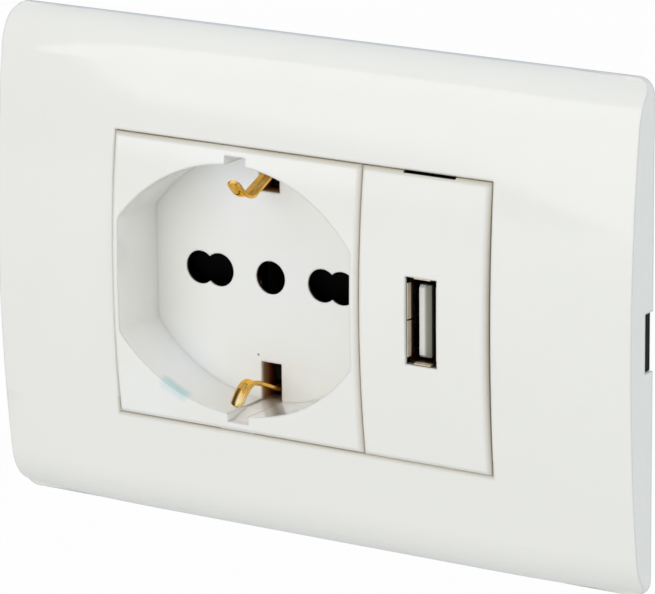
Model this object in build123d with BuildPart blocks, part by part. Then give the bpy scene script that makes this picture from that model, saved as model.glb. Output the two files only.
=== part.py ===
from build123d import *

import os
from math import asin, atan, cos, degrees, pi, sin, sqrt

# Flush wall socket with a USB charging socket beside the mains socket.
# An arched cover plate clips over a mounting frame, which carries a two-module mains socket and a
# one-module charger. Millimetres. The origin is on the wall behind the middle of the plate, +X is to the
# right seen from the room, +Y goes into the wall and +Z is up.
# "Out" is a height from the wall towards the room: a sketch on Plane.XZ.offset(out) faces the room.

os.makedirs("parts", exist_ok=True)

# Module grid
module_pitch = 22.5
module_height = 45.0
module_gap = 0.1
socket_modules = 2
usb_modules = 1

# Module fronts, arched from top to bottom
front_crown = 9.0
front_arch_radius = 165.0
front_edge_chamfer = 0.6
usb_front_drop = 0.07

# Cover plate: an arched middle, rounded down at top and bottom, with ends that fall away
plate_width = 114.0
plate_height = 79.0
plate_crown = 8.1
plate_arch_radius = 250.0
plate_shoulder_inset = 6.5
plate_edge_radius = 8.5
plate_straight = 30.0
plate_side_radius = 228.0
plate_corner_radius = 2.5
plate_skin = 2.0
plate_rim = 0.9
window_clearance = 0.05
window_edge_chamfer = 0.3
collar_wall = 1.2
pry_notch_height = 9.1
pry_notch_depth = 2.3
pry_notch_reach = 4.0
stiffener_width = 0.8
stiffener_spacing = 30.0
stiffener_gap = 1.0

# Hooks that hold the plate on the frame
hook_spacing = 60.0
hook_width = 8.0
hook_wall = 1.0
hook_reach = 0.8
hook_height = 0.6
hook_lift = 0.3
hook_clearance = 0.2

# Mounting frame
frame_side_inset = 5.0
frame_edge_inset = 5.5
frame_thickness = 2.5
frame_corner_radius = 5.0
frame_rib_width = 1.2
frame_rib_height = 1.6
frame_rib_gap = 0.45
pry_tab_setback = 0.5
pry_tab_clearance = 0.1
pry_tab_thickness = 1.2
fixing_spacing = 83.5
fixing_slot_width = 4.2
fixing_slot_length = 7.2

# Module bodies behind the fronts
body_inset = 1.9
body_clearance = 0.2
module_depth = 31.6
case_wall = 1.4
case_corner = 1.5
case_chamfer = 1.0
catch_width = 6.0
catch_reach = 0.9
catch_length = 2.5
arm_width = 5.0
arm_thickness = 1.2
arm_length = 7.0
arm_nib = 0.6
arm_nib_length = 1.4
arm_clearance = 0.15
arm_inset = 3.2

# Socket recess and its holes
recess_half_width = 21.2
recess_arc_radius = 26.4
recess_arc_offset = 6.7
recess_corner_radius = 1.5
recess_depth = 10.8
floor_thickness = 1.0
narrow_pitch = 19.0
wide_pitch = 26.0
pin_hole_radius = 2.65
clip_window_width = 3.7
clip_window_length = 6.1
channel_wall = 0.7
channel_notch = 1.3
key_tab_width = 6.0
key_tab_height = 0.07
key_tab_offset = -0.7

# Safety shutter and its spring
shutter_thickness = 2.7
shutter_web = 1.3
shutter_pass = 0.35
shutter_play = 0.15
shutter_end_play = 0.2
shutter_lip = 0.6
spring_wall = 0.6
spring_radius = 1.2
spring_wire_radius = 0.18
spring_turns = 3
spring_peg_radius = 0.8
spring_peg_length = 2.0

# Line and earth contacts, bent from strip
strip_thickness = 0.7
leaf_grip = 3.5
leaf_mouth = 6.4
leaf_base = 4.6
leaf_bend = 1.0
leaf_setback = 1.3
leaf_flare = 3.2
leaf_slit_end = 4.2
leaf_slit_width = 0.6
contact_overhang = 2.35
contact_pocket_clearance = 0.4

# Earth bridge with its two clips: rises from the recess floor, and insets from the recess wall
clip_width = 2.3
clip_thickness = 0.6
clip_tip_rise = 10.1
clip_tip_inset = 2.0
clip_tip_flat = 0.3
clip_apex_rise = 6.2
clip_apex_inset = 5.2
clip_arm_inset = 2.0
clip_knee_drop = 0.6
clip_apex_bend = 1.8
clip_bend = 2.0
bridge_drop = 0.45

# Terminal blocks and screws of the mains socket
clamp_width = 7.4
clamp_height = 11.0
clamp_length = 6.4
clamp_clearance = 0.15
terminal_wall = 2.4
clamp_screw_height = 2.6
clamp_wire_height = -2.9
wire_radius = 1.7
screw_radius = 1.7
screw_tip_gap = 0.4
screw_head_radius = 2.8
screw_head_height = 1.8
screw_slot_width = 0.8
screw_slot_depth = 0.9
screw_access = 0.35

# USB port
shell_width = 5.3
shell_height = 13.4
shell_wall = 0.3
shell_corner_radius = 0.5
shell_setback = 0.5
shell_length = 14.0
port_clearance = 0.1
shell_seam = 0.25
shell_lead = 0.1
shell_lead_length = 0.8
shell_notch_width = 1.2
shell_notch_height = 1.0
shell_window_setback = 1.4
shell_window_length = 7.0
shell_window_height = 4.6
shell_window_gap = 1.0
leaf_spring_length = 4.6
leaf_spring_slit = 0.4
tongue_thickness = 1.84
tongue_end_gap = 0.8
tongue_offset = -0.69
tongue_setback = 1.85
tongue_lead = 0.95
tongue_lead_length = 0.6
tongue_drop = 0.45
tongue_corner = 0.4
insulator_block = 4.0
contact_strip_width = 1.0
contact_strip_thickness = 0.2
contact_strip_setback = 2.4
contact_strip_places = (-3.5, -1.0, 1.0, 3.5)
contact_tail = 1.2
release_slot_width = 9.0
release_slot_height = 0.25
release_slot_offset = 0.5
usb_skin = 2.6

# Charger board and what stands on it, as heights out and gaps to the case
board_thickness = 1.6
board_front_gap = 0.9
board_edge_gap = 0.3
rail_width = 1.2
rail_height = 1.1
rail_length = 20.0
core_length = 13.0
core_thickness = 5.0
core_yoke = 2.2
core_leg = 3.4
core_window = 2.4
core_outer_leg = 1.7
core_front_out = -7.0
core_case_gap = 0.8
winding_margin = 0.2
winding_corner_radius = 1.6
input_can_radius = 4.0
input_can_length = 11.0
input_can_out = -13.0
output_can_radius = 3.15
output_can_length = 8.0
output_can_out = 1.0
can_case_gap = 1.8
can_edge_chamfer = 0.4
rectifier_thickness = 2.6
rectifier_side = 6.4
rectifier_out = -3.2
rectifier_up = -10.8
choke_flange_radius = 2.5
choke_core_radius = 1.5
choke_flange = 0.8
choke_height = 5.0
choke_out = 2.8
chip_thickness = 1.6
chip_width = 4.0
chip_length = 5.0
chip_out = -13.0
usb_block_wall = 1.0
usb_block_base = 2.0
usb_clamp_width = 7.2
usb_clamp_height = 4.0
usb_clamp_length = 4.4
usb_head_room = 1.6
usb_screw_radius = 1.2
usb_screw_head_radius = 1.8
usb_screw_head_height = 1.4
usb_screw_offset = -1.7
usb_wire_offset = 1.9
usb_wire_radius = 1.2

# Places that follow from the sizes above
window_width = module_pitch * (socket_modules + usb_modules)
socket_x = -window_width / 2 + module_pitch * socket_modules / 2
usb_x = window_width / 2 - module_pitch * usb_modules / 2
socket_width = module_pitch * socket_modules - module_gap
usb_width = module_pitch * usb_modules - module_gap
front_height = module_height - module_gap
body_height = module_height - 2 * body_inset
recess_floor = front_crown - recess_depth
floor_back = recess_floor - floor_thickness
split_depth = -floor_back + shutter_thickness + 2 * shutter_play
recess_apex = recess_arc_radius - recess_arc_offset
contact_depth = module_depth - terminal_wall - clamp_length - clip_thickness
line_x = (narrow_pitch + wide_pitch) / 4
line_contact_width = (wide_pitch - narrow_pitch) / 2 + 2 * contact_overhang
terminal_places = (-line_x, 0, line_x)


def arch_height(z):
    """Height out of the module fronts at a height z."""
    return front_crown - front_arch_radius + sqrt(front_arch_radius**2 - z**2)


# Cover plate
shoulder_angle = asin((plate_height / 2 - plate_shoulder_inset) / plate_arch_radius)
edge_reach = plate_arch_radius - plate_edge_radius
edge_centre_z = edge_reach * sin(shoulder_angle)
edge_centre_out = plate_crown - plate_arch_radius + edge_reach * cos(shoulder_angle)
plate_end = plate_width / 2 - plate_straight
least_turn_radius = plate_side_radius - plate_crown - plate_edge_radius
end_turn = degrees(asin((plate_end + plate_skin) / least_turn_radius))


def edge_point(angle, inset):
    """Point (Y, Z) of the rounded top edge, at an angle from straight out, in from the skin by inset."""
    radius = plate_edge_radius - inset
    return (-(edge_centre_out + radius * cos(angle)), edge_centre_z + radius * sin(angle))


def arch_section(inset, rounded):
    """Closed (Y, Z) outline of the plate's cross-section, in from its skin, with round or cut shoulders."""
    back = plate_edge_radius
    shoulder = edge_point(shoulder_angle, inset)
    bend = edge_point((shoulder_angle + pi / 2) / 2, inset)
    end = edge_point(pi / 2, inset)
    ThreePointArc((shoulder[0], -shoulder[1]), (inset - plate_crown, 0), shoulder)
    lower = [(y, -z) for y, z in (end, bend, shoulder)]
    if rounded:
        ThreePointArc(shoulder, bend, end)
        ThreePointArc(*lower)
    else:
        Polyline(shoulder, bend, end)
        Polyline(*lower)
    Polyline(end, (back, end[1]), (back, -end[1]), lower[0])


def arched_block(inset, rounded):
    """Solid under the plate's front: a straight middle, and ends turned about far upright axes."""
    with BuildPart() as block:
        with BuildSketch(Plane.YZ.offset(-plate_straight)):
            with BuildLine():
                arch_section(inset, rounded)
            make_face()
        extrude(amount=2 * plate_straight)
        for side in (-1, 1):
            with BuildSketch(Plane.YZ.offset(side * plate_straight)):
                with BuildLine():
                    arch_section(inset, rounded)
                make_face()
            turn_centre = (side * plate_straight, plate_side_radius - plate_crown, 0)
            revolve(axis=Axis(turn_centre, (0, 0, side)), revolution_arc=end_turn)
    return block.part


plate_window = (window_width + 2 * window_clearance, module_height + 2 * window_clearance)
frame_width = plate_width - 2 * frame_side_inset
frame_height = plate_height - 2 * frame_edge_inset
hook_height_z = frame_height / 2 + hook_clearance
hook_skin_out = edge_point(asin((hook_height_z - edge_centre_z) / plate_edge_radius), plate_skin / 2)
hook_places = [(sx * hook_spacing / 2, sz) for sx in (-1, 1) for sz in (-1, 1)]
rib_inside = window_clearance + collar_wall + frame_rib_gap
rib_width = window_width + 2 * rib_inside
rib_height = module_height + 2 * rib_inside
stiffener_start = rib_width / 2 + frame_rib_width + stiffener_gap
stiffener_places = [(sx * plate_width / 2, sz * stiffener_spacing / 2) for sx in (-1, 1) for sz in (-1, 1)]

with BuildPart() as plate_hollow:
    add(arched_block(plate_skin, rounded=False))
    with BuildSketch(Plane.XZ.offset(-plate_rim)):
        Rectangle(plate_width - 2 * plate_skin, plate_height)
    extrude(amount=plate_rim + plate_crown, mode=Mode.INTERSECT)
    with BuildSketch(Plane.XZ.offset(frame_thickness)):
        Rectangle(plate_window[0] + 2 * collar_wall, plate_window[1] + 2 * collar_wall)
        with Locations(*stiffener_places):
            Rectangle(plate_width - 2 * stiffener_start, stiffener_width)
    extrude(amount=plate_crown, mode=Mode.SUBTRACT)

with BuildPart() as cover_plate:
    add(arched_block(0, rounded=True))
    with BuildSketch(Plane.XZ) as plate_outline:
        RectangleRounded(plate_width, plate_height, plate_corner_radius)
    extrude(amount=plate_crown, mode=Mode.INTERSECT)
    extrude(plate_outline.sketch, amount=plate_rim)
    add(plate_hollow.part, mode=Mode.SUBTRACT)
    with BuildSketch(Plane.XZ):
        Rectangle(*plate_window)
    extrude(amount=plate_crown, mode=Mode.SUBTRACT)
    window_edges = cover_plate.edges(Select.LAST)
    front_edges = window_edges.filter_by_position(Axis.Y, -plate_crown, plate_skin - plate_crown)
    chamfer(front_edges, length=window_edge_chamfer)
    with BuildSketch(Plane.XZ):
        with Locations((-plate_width / 2, 0), (plate_width / 2, 0)):
            Rectangle(2 * pry_notch_reach, pry_notch_height)
    extrude(amount=pry_notch_depth, mode=Mode.SUBTRACT)
    with BuildSketch(Plane.XZ.offset(hook_lift)):
        for x, side in hook_places:
            with Locations((x, side * (hook_height_z + hook_wall / 2))):
                Rectangle(hook_width, hook_wall)
    extrude(amount=-hook_skin_out[0] - hook_lift)
    with BuildSketch(Plane.XZ.offset(hook_lift)):
        for x, side in hook_places:
            with Locations((x, side * (hook_height_z - hook_reach / 2))):
                Rectangle(hook_width, hook_reach)
    extrude(amount=hook_height)
cover_plate.part.label = "cover_plate"
export_step(cover_plate.part, "parts/cover_plate.step")


# Mounting frame
opening_width = window_width + 2 * body_clearance
opening_height = body_height + 2 * body_clearance
ledge_depth = hook_lift + hook_height

with BuildPart() as mounting_frame:
    with BuildSketch(Plane.XZ):
        RectangleRounded(frame_width, frame_height, frame_corner_radius)
        Rectangle(opening_width, opening_height, mode=Mode.SUBTRACT)
    extrude(amount=frame_thickness)
    with BuildSketch(Plane.XZ.offset(frame_thickness)):
        Rectangle(rib_width + 2 * frame_rib_width, rib_height + 2 * frame_rib_width)
        Rectangle(rib_width, rib_height, mode=Mode.SUBTRACT)
    extrude(amount=frame_rib_height)
    with BuildSketch(Plane.XZ):
        with Locations((-fixing_spacing / 2, 0), (fixing_spacing / 2, 0)):
            SlotOverall(fixing_slot_length, fixing_slot_width)
    extrude(amount=frame_thickness + frame_rib_height, mode=Mode.SUBTRACT)
    with BuildSketch(Plane.XZ):
        for x, side in hook_places:
            with Locations((x, side * frame_height / 2)):
                Rectangle(hook_width + 2 * hook_clearance, 2 * hook_reach)
    extrude(amount=ledge_depth, mode=Mode.SUBTRACT)
    with BuildSketch(Plane.XZ):
        with Locations((-frame_width / 2, 0), (frame_width / 2, 0)):
            Rectangle(2 * (frame_side_inset - pry_tab_setback), pry_notch_height - 2 * pry_tab_clearance)
    extrude(amount=pry_tab_thickness)
mounting_frame.part.label = "mounting_frame"
export_step(mounting_frame.part, "parts/mounting_frame.step")


# Module bodies, shared by the mains socket and the charger
def arm_places(centre, width):
    """Middles of a module's four snap arms as (x, side)."""
    reach = width / 2 - arm_inset - arm_width / 2
    return [(centre + sx * reach, sz) for sx in (-1, 1) for sz in (-1, 1)]


def module_block(centre, width, drop):
    """Arched front, longer below by drop, with its body, catches and snap arms, still solid inside."""
    with BuildPart() as block:
        with BuildSketch(Plane.XZ.offset(frame_thickness)):
            with Locations((centre, -drop / 2)):
                Rectangle(width, front_height + drop)
        extrude(amount=front_crown)
        with BuildSketch(Plane.YZ.offset(centre - width)):
            with BuildLine():
                edge = (-arch_height(module_height), module_height)
                ThreePointArc((edge[0], -edge[1]), (-front_crown, 0), edge)
                Polyline(edge, (split_depth, edge[1]), (split_depth, -edge[1]), (edge[0], -edge[1]))
            make_face()
        extrude(amount=2 * width, mode=Mode.INTERSECT)
        chamfer(block.faces().sort_by(Axis.Y)[0].edges(), length=front_edge_chamfer)
        with BuildSketch(Plane.XZ.offset(-split_depth)):
            with Locations((centre, 0)):
                Rectangle(width, body_height)
        extrude(amount=split_depth + frame_thickness)
        for x, side in arm_places(centre, width):
            with BuildSketch(Plane.YZ.offset(x - catch_width / 2)):
                with BuildLine():
                    root = side * body_height / 2
                    Polyline((0, root), (0, root + side * catch_reach), (catch_length, root), close=True)
                make_face()
            extrude(amount=catch_width)
            with BuildSketch(Plane.YZ.offset(x - arm_width / 2)):
                with BuildLine():
                    skin = side * body_height / 2
                    inside = skin - side * arm_thickness
                    tip = split_depth + arm_length
                    nib = tip - arm_nib_length
                    Polyline(
                        (split_depth, skin),
                        (tip, skin),
                        (tip, inside),
                        (nib, inside - side * arm_nib),
                        (nib, inside),
                        (split_depth, inside),
                        close=True,
                    )
                make_face()
            extrude(amount=arm_width)
    return block.part


def case_block(centre, width):
    """Rear body of a module with the slots that the snap arms fall into, still solid inside."""
    with BuildPart() as block:
        with BuildSketch(Plane.XZ.offset(-module_depth)):
            with Locations((centre, 0)):
                Rectangle(width, body_height)
        extrude(amount=module_depth - split_depth)
        chamfer(block.edges().filter_by(Axis.Y), length=case_corner)
        chamfer(block.faces().sort_by(Axis.Y)[-1].edges(), length=case_chamfer)
        slot_length = arm_length + arm_clearance
        slot_depth = arm_thickness + arm_clearance
        with BuildSketch(Plane.XZ.offset(-split_depth)):
            for x, side in arm_places(centre, width):
                with Locations((x, side * (body_height / 2 - slot_depth / 2))):
                    Rectangle(arm_width + 2 * arm_clearance, slot_depth)
        extrude(amount=-slot_length, mode=Mode.SUBTRACT)
        pocket_depth = slot_depth + arm_nib
        with BuildSketch(Plane.XZ.offset(-split_depth - slot_length)):
            for x, side in arm_places(centre, width):
                with Locations((x, side * (body_height / 2 - pocket_depth / 2))):
                    Rectangle(arm_width + 2 * arm_clearance, pocket_depth)
        extrude(amount=arm_nib_length + arm_clearance, mode=Mode.SUBTRACT)
    return block.part


# Socket front: recess with the pin holes, clip windows and wall channels, and the shutter's chamber
shutter_travel = 2 * (pin_hole_radius + shutter_pass)
line_window_inner = narrow_pitch / 2 - pin_hole_radius - shutter_pass
line_window_outer = wide_pitch / 2 + pin_hole_radius + shutter_pass
ramp_half = pin_hole_radius + shutter_pass
shutter_half_width = line_window_outer + shutter_web
shutter_top = ramp_half + shutter_web
shutter_bottom = -ramp_half - shutter_travel - shutter_web
shutter_front = floor_back - shutter_play
shutter_back = shutter_front - shutter_thickness
clip_window_start = recess_apex - clip_window_length
chamber_top = clip_window_start - spring_wall
spring_length = chamber_top - shutter_top
chamber_bottom = shutter_bottom - shutter_end_play
channel_back = body_height / 2 - channel_wall
channel_front = recess_apex + channel_notch
pin_offsets = (-wide_pitch / 2, -narrow_pitch / 2, 0, narrow_pitch / 2, wide_pitch / 2)
pin_places = [(socket_x + x, 0) for x in pin_offsets]

with BuildPart() as socket_front:
    add(module_block(socket_x, socket_width, 0))
    with BuildSketch(Plane.XZ.offset(recess_floor)) as recess:
        with Locations((socket_x, -recess_arc_offset)):
            Circle(recess_arc_radius)
        with Locations((socket_x, recess_arc_offset)):
            Circle(recess_arc_radius, mode=Mode.INTERSECT)
        with Locations((socket_x, 0)):
            Rectangle(2 * recess_half_width, 2 * recess_arc_radius, mode=Mode.INTERSECT)
        fillet(recess.vertices(), radius=recess_corner_radius)
    extrude(amount=recess_depth, mode=Mode.SUBTRACT)
    with BuildSketch(Plane.XZ.offset(floor_back)):
        with Locations(*pin_places):
            Circle(pin_hole_radius)
    extrude(amount=floor_thickness, mode=Mode.SUBTRACT)
    with BuildSketch(Plane.XZ.offset(-split_depth)):
        with Locations((socket_x, (chamber_top + chamber_bottom) / 2)):
            Rectangle(2 * (shutter_half_width + shutter_end_play), chamber_top - chamber_bottom)
    extrude(amount=split_depth + floor_back, mode=Mode.SUBTRACT)
    for side in (-1, 1):
        with BuildSketch(Plane.XZ.offset(-split_depth)):
            with Locations((socket_x, side * (clip_window_start + channel_back) / 2)):
                Rectangle(clip_window_width, channel_back - clip_window_start)
        extrude(amount=split_depth + recess_floor, mode=Mode.SUBTRACT)
        with BuildSketch(Plane.YZ.offset(socket_x - clip_window_width / 2)):
            with BuildLine():
                Polyline(
                    (-recess_floor, side * clip_window_start),
                    (-recess_floor, side * channel_back),
                    (-frame_thickness, side * channel_back),
                    (-arch_height(channel_front) + channel_notch, side * channel_front),
                    (-front_crown, side * channel_front),
                    (-front_crown, side * clip_window_start),
                    close=True,
                )
            make_face()
        extrude(amount=clip_window_width, mode=Mode.SUBTRACT)
    with BuildSketch(Plane.XZ.offset(frame_thickness)):
        with Locations((socket_x + key_tab_offset, -front_height / 2)):
            Rectangle(key_tab_width, 2 * key_tab_height)
    extrude(amount=arch_height(front_height / 2) - front_edge_chamfer - frame_thickness)
socket_front.part.label = "socket_front"
export_step(socket_front.part, "parts/socket_front.step")


# Socket rear: pockets for the contacts and terminal blocks, open to the front
clip_arm_height = recess_apex - clip_arm_inset
pocket_height = leaf_mouth + 2 * strip_thickness + 2 * contact_pocket_clearance
bridge_depth = contact_depth + clip_thickness
clamp_back = {x: contact_depth + clamp_length + (clip_thickness if x == 0 else 0) for x in terminal_places}

with BuildPart() as socket_rear:
    add(case_block(socket_x, socket_width))
    with BuildSketch(Plane.XZ.offset(-split_depth)):
        for x in terminal_places:
            width = line_contact_width if x else 2 * contact_overhang
            with Locations((socket_x + x, 0)):
                Rectangle(width + 2 * contact_pocket_clearance, pocket_height)
    extrude(amount=split_depth - contact_depth, mode=Mode.SUBTRACT)
    with BuildSketch(Plane.XZ.offset(-split_depth)):
        with Locations(*[(socket_x, side * clip_arm_height - bridge_drop) for side in (-1, 1)]):
            Rectangle(clip_window_width, clip_thickness + 2 * contact_pocket_clearance)
    extrude(amount=split_depth - bridge_depth, mode=Mode.SUBTRACT)
    with BuildSketch(Plane.XZ.offset(-bridge_depth)):
        with Locations((socket_x, -bridge_drop)):
            Rectangle(clip_window_width, 2 * clip_arm_height)
    extrude(amount=clip_thickness + 2 * clip_bend, mode=Mode.SUBTRACT)
    for x in terminal_places:
        with BuildSketch(Plane.XZ.offset(-clamp_back[x])):
            with Locations((socket_x + x, 0)):
                Rectangle(clamp_width + 2 * clamp_clearance, clamp_height + 2 * clamp_clearance)
        extrude(amount=clamp_back[x] - split_depth, mode=Mode.SUBTRACT)
    with BuildSketch(Plane.XZ.offset(-module_depth)):
        with Locations(*[(socket_x + x, clamp_screw_height) for x in terminal_places]):
            Circle(screw_head_radius + screw_access)
        with Locations(*[(socket_x + x, clamp_wire_height) for x in terminal_places]):
            Circle(wire_radius)
    extrude(amount=module_depth - contact_depth, mode=Mode.SUBTRACT)
socket_rear.part.label = "socket_rear"
export_step(socket_rear.part, "parts/socket_rear.step")


# Safety shutter: a sliding plate whose ramps turn the push of two pins into an upward slide
with BuildPart() as shutter:
    with BuildSketch(Plane.XZ.offset(shutter_back)):
        with Locations((socket_x, (shutter_top + shutter_bottom) / 2)):
            Rectangle(2 * shutter_half_width, shutter_top - shutter_bottom)
        ramp_width = line_window_outer - line_window_inner
        ramp_middle = (line_window_outer + line_window_inner) / 2
        with Locations(
            (socket_x - ramp_middle, -ramp_half - shutter_travel / 2),
            (socket_x + ramp_middle, -ramp_half - shutter_travel / 2),
        ):
            Rectangle(ramp_width, shutter_travel, mode=Mode.SUBTRACT)
        with Locations((socket_x, -shutter_travel / 2)):
            Rectangle(2 * ramp_half, 2 * ramp_half + shutter_travel, mode=Mode.SUBTRACT)
    extrude(amount=shutter_thickness)
    for side in (-1, 1):
        with BuildSketch(Plane.YZ.offset(socket_x + side * ramp_middle - ramp_width / 2)):
            with BuildLine():
                Polyline(
                    (-shutter_front, ramp_half),
                    (-shutter_back - shutter_lip, -ramp_half),
                    (-shutter_front, -ramp_half),
                    close=True,
                )
            make_face()
        extrude(amount=ramp_width, mode=Mode.SUBTRACT)
    peg_plane = Plane((socket_x, -(shutter_front + shutter_back) / 2, shutter_top))
    with BuildSketch(peg_plane):
        Circle(spring_peg_radius)
    extrude(amount=spring_peg_length)
shutter.part.label = "shutter"
export_step(shutter.part, "parts/shutter.step")

with BuildPart() as shutter_spring:
    coil_height = spring_length - 2 * spring_wire_radius
    coil_radius = spring_radius - spring_wire_radius
    with BuildLine() as coil:
        Helix(
            pitch=coil_height / spring_turns,
            height=coil_height,
            radius=coil_radius,
            center=(socket_x, -(shutter_front + shutter_back) / 2, shutter_top + spring_wire_radius),
        )
    with BuildSketch(Plane(origin=coil.line @ 0, z_dir=coil.line % 0)):
        RegularPolygon(spring_wire_radius, side_count=4)
    sweep(is_frenet=True)
shutter_spring.part.label = "shutter_spring"
export_step(shutter_spring.part, "parts/shutter_spring.step")


# Contacts: pairs of sprung leaves bent from one strip, slit where they grip two pin spacings
leaf_mouth_depth = split_depth + leaf_setback
leaf_grip_depth = leaf_mouth_depth + leaf_flare
leaf_slit_depth = contact_depth - leaf_slit_end


def leaf_pair(centre, width):
    """Pair of leaves on both sides of Z = 0, pinched below a flared mouth."""
    middle = strip_thickness / 2
    with BuildPart() as pair:
        with BuildSketch(Plane.YZ.offset(centre - width / 2)):
            with BuildLine():
                FilletPolyline(
                    (leaf_mouth_depth, leaf_mouth / 2 + middle),
                    (leaf_grip_depth, leaf_grip / 2 + middle),
                    (contact_depth - middle, leaf_base / 2 + middle),
                    (contact_depth - middle, -leaf_base / 2 - middle),
                    (leaf_grip_depth, -leaf_grip / 2 - middle),
                    (leaf_mouth_depth, -leaf_mouth / 2 - middle),
                    radius=leaf_bend,
                )
            trace(line_width=strip_thickness)
        extrude(amount=width)
    return pair.part


for name, side in (("live_contact", 1), ("neutral_contact", -1)):
    with BuildPart() as line_contact:
        add(leaf_pair(socket_x + side * line_x, line_contact_width))
        with BuildSketch(Plane.XZ.offset(-leaf_slit_depth)):
            with Locations((socket_x + side * line_x, 0)):
                Rectangle(leaf_slit_width, pocket_height)
        extrude(amount=leaf_slit_depth, mode=Mode.SUBTRACT)
    line_contact.part.label = name
    export_step(line_contact.part, f"parts/{name}.step")

with BuildPart() as earth_contact:
    add(leaf_pair(socket_x, 2 * contact_overhang))
earth_contact.part.label = "earth_contact"
export_step(earth_contact.part, "parts/earth_contact.step")


# Earth bridge: one strip behind the centre contact, its ends bent forward into the two clips
with BuildPart() as earth_bridge:
    with BuildSketch(Plane.YZ.offset(socket_x - clip_width / 2)):
        with BuildLine():
            upper = [
                (-recess_floor - clip_tip_rise, recess_apex - clip_tip_inset),
                (-recess_floor - clip_apex_rise, recess_apex - clip_apex_inset),
                (-floor_back + clip_knee_drop, clip_arm_height),
                (contact_depth + clip_thickness / 2, clip_arm_height),
            ]
            lower = [(y, -z) for y, z in reversed(upper)]
            bends = [clip_apex_bend, clip_bend, clip_bend]
            FilletPolyline(*[(y, z - bridge_drop) for y, z in upper + lower], radius=bends + bends[::-1])
        trace(line_width=clip_thickness)
    extrude(amount=clip_width)
    tips = earth_bridge.faces().filter_by(GeomType.PLANE).sort_by(Axis.Y)[:2]
    fillet(tips.edges().filter_by(Axis.X, reverse=True), radius=(clip_width - clip_tip_flat) / 2)
earth_bridge.part.label = "earth_bridge"
export_step(earth_bridge.part, "parts/earth_bridge.step")


# Terminal blocks and screws of the mains socket
with BuildPart() as socket_clamps:
    for x in terminal_places:
        with BuildSketch(Plane.XZ.offset(-clamp_back[x])):
            with Locations((socket_x + x, 0)):
                Rectangle(clamp_width, clamp_height)
            with Locations((socket_x + x, clamp_screw_height)):
                Circle(screw_radius, mode=Mode.SUBTRACT)
            with Locations((socket_x + x, clamp_wire_height)):
                Rectangle(2 * wire_radius, 2 * wire_radius, mode=Mode.SUBTRACT)
        extrude(amount=clamp_length)
socket_clamps.part.label = "socket_clamps"
export_step(socket_clamps.part, "parts/socket_clamps.step")


def slotted_screw(radius, length, head_radius, head_height):
    """Screw with its head's underside on the XZ plane, its head towards +Y and its shank towards -Y."""
    with BuildPart() as screw:
        with BuildSketch(Plane.XZ):
            Circle(radius)
        extrude(amount=length)
        with BuildSketch(Plane.XZ):
            Circle(head_radius)
        extrude(amount=-head_height)
        with BuildSketch(Plane.XZ.offset(-head_height)):
            Rectangle(screw_slot_width, 2 * head_radius)
        extrude(amount=screw_slot_depth, mode=Mode.SUBTRACT)
    return screw.part


with BuildPart() as socket_screws:
    with Locations(*[(socket_x + x, clamp_back[x], clamp_screw_height) for x in terminal_places]):
        add(slotted_screw(screw_radius, clamp_length - screw_tip_gap, screw_head_radius, screw_head_height))
socket_screws.part.label = "socket_screws"
export_step(socket_screws.part, "parts/socket_screws.step")


# USB front: hollow, with the port opening and the release slot in its top edge
cavity_width = usb_width - 2 * case_wall
cavity_height = body_height - 2 * case_wall
port_opening = (shell_width + 2 * port_clearance, shell_height + 2 * port_clearance)

with BuildPart() as usb_front:
    add(module_block(usb_x, usb_width, usb_front_drop))
    with BuildSketch(Plane.XZ.offset(-split_depth)):
        with Locations((usb_x, 0)):
            Rectangle(cavity_width, cavity_height)
    extrude(amount=split_depth + front_crown - usb_skin, mode=Mode.SUBTRACT)
    with BuildSketch(Plane.XZ):
        with Locations((usb_x, 0)):
            Rectangle(*port_opening)
    extrude(amount=front_crown, mode=Mode.SUBTRACT)
    with BuildSketch(Plane.XZ.offset(frame_thickness)):
        with Locations((usb_x + release_slot_offset, front_height / 2)):
            Rectangle(release_slot_width, 2 * release_slot_height)
    extrude(amount=front_crown, mode=Mode.SUBTRACT)
usb_front.part.label = "usb_front"
export_step(usb_front.part, "parts/usb_front.step")


# USB rear case: a box with rails for the board and holes over the terminals
board_left = usb_x + shell_width / 2
board_right = board_left + board_thickness
case_floor = module_depth - case_wall
case_inside = cavity_height - 2 * arm_thickness
usb_block_width = usb_clamp_width + 2 * usb_block_wall
usb_block_x = board_left - usb_block_width / 2
usb_terminal_spacing = usb_clamp_height + usb_block_wall
usb_terminal_heights = (-usb_terminal_spacing / 2, usb_terminal_spacing / 2)
usb_screw_places = [(usb_block_x + usb_screw_offset, z) for z in usb_terminal_heights]
usb_wire_places = [(usb_block_x + usb_wire_offset, z) for z in usb_terminal_heights]
usb_screw_hole_radius = usb_screw_head_radius + screw_access

with BuildPart() as usb_rear_case:
    add(case_block(usb_x, usb_width))
    with BuildSketch(Plane.XZ.offset(-case_floor)):
        with Locations((usb_x, 0)):
            Rectangle(cavity_width, case_inside)
    extrude(amount=case_floor - split_depth, mode=Mode.SUBTRACT)
    with BuildSketch(Plane.XZ.offset(-case_floor)):
        for side in (-1, 1):
            rail_z = side * (case_inside - rail_height) / 2
            with Locations((board_left - rail_width / 2, rail_z), (board_right + rail_width / 2, rail_z)):
                Rectangle(rail_width, rail_height)
    extrude(amount=rail_length)
    with BuildSketch(Plane.XZ.offset(-module_depth)):
        with Locations(*usb_screw_places):
            Circle(usb_screw_hole_radius)
        with Locations(*usb_wire_places):
            Circle(usb_wire_radius)
    extrude(amount=case_wall, mode=Mode.SUBTRACT)
usb_rear_case.part.label = "usb_rear_case"
export_step(usb_rear_case.part, "parts/usb_rear_case.step")


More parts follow.
